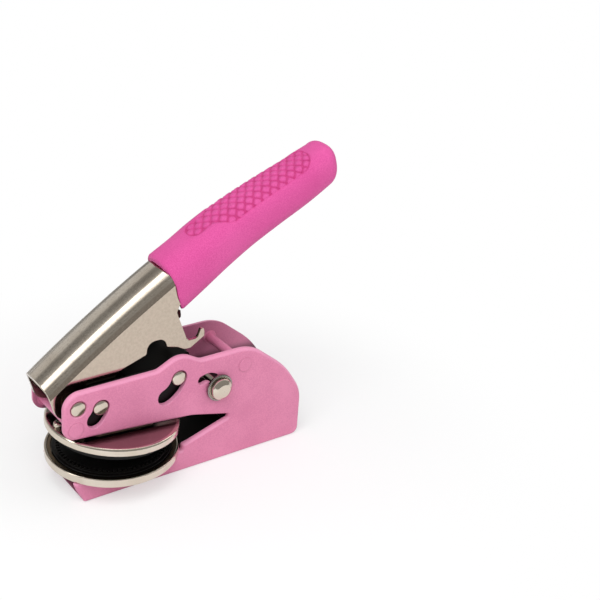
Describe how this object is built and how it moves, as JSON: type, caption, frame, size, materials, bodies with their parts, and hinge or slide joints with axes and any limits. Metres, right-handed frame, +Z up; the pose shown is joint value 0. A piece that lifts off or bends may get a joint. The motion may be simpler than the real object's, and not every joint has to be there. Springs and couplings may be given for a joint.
{
  "type": "seal embosser",
  "caption": "Hand seal embosser: painted channel frame, sprung plated handle with a soft grip, press lever and a hinged pair of round dies.",
  "frame": {"origin": "underside of the base, straight under the middle of the dies", "axes": "+X to the back (handle end), +Y to the far side plate, +Z up"},
  "size_m": [0.12, 0.0486, 0.1138],
  "materials": {
    "pink_paint": "satin pink paint on sheet steel",
    "pink_grip": "soft pink rubber with a chequered panel",
    "nickel": "bright nickel plate",
    "spring_steel": "dull spring wire",
    "black_die": "black moulded die",
    "brown_steel": "bronze-tinted plated ring",
    "dark_steel": "blackened steel"
  },
  "bodies": {
    "frame": {"frame": "pink_paint", "front_spacer": "pink_paint", "rear_spacer": "pink_paint", "pivot_pin": "nickel", "return_spring": "spring_steel", "lower_cup": "nickel", "lower_die": "black_die", "lower_die_ring": "brown_steel", "lower_strip": "dark_steel", "lower_rivets": "dark_steel", "clip_pin": "dark_steel"},
    "handle": {"handle_channel": "nickel", "handle_grip": "pink_grip", "drive_pin": "nickel"},
    "press_lever": {"press_lever": "dark_steel", "press_foot": "nickel", "lever_bridge": "dark_steel", "guide_pins": "nickel", "cross_bar": "dark_steel"},
    "upper_jaw": {"upper_cup": "nickel", "upper_die": "black_die", "upper_die_ring": "brown_steel", "upper_strip": "dark_steel", "upper_rivets": "dark_steel", "pressure_plate": "nickel", "stop_stud": "nickel"},
    "lock_pin": {"lock_shank": "nickel", "lock_knob": "nickel", "lock_far_head": "nickel"}
  },
  "joints": [
    {"name": "handle_hinge", "type": "hinge", "parent": "frame", "child": "handle", "pos_m": [-0.0196, 0, 0.0388], "axis": [0, 1, 0], "range_deg": [0, 28], "stiffness_Nm_per_rad": 0.25, "springref_deg": -34.38},
    {"name": "lever_drive", "type": "hinge", "parent": "handle", "child": "press_lever", "pos_m": [-0.0111, 0, 0.0369], "axis": [0, 1, 0], "range_deg": [-28, 0]},
    {"name": "jaw_hinge", "type": "hinge", "parent": "frame", "child": "upper_jaw", "pos_m": [0.042, 0, 0.0175], "axis": [0, -1, 0], "range_deg": [0, 4.9]},
    {"name": "lock_slide", "type": "hinge", "parent": "frame", "child": "lock_pin", "pos_m": [0.0314, 0, 0.032], "axis": [0, -1, 0], "range_deg": [0, 114]}
  ],
  "couplings": [
    {"joint": "lever_drive", "follows": "handle_hinge", "ratio": -1},
    {"joint": "jaw_hinge", "follows": "handle_hinge", "ratio": 0.175}
  ]
}
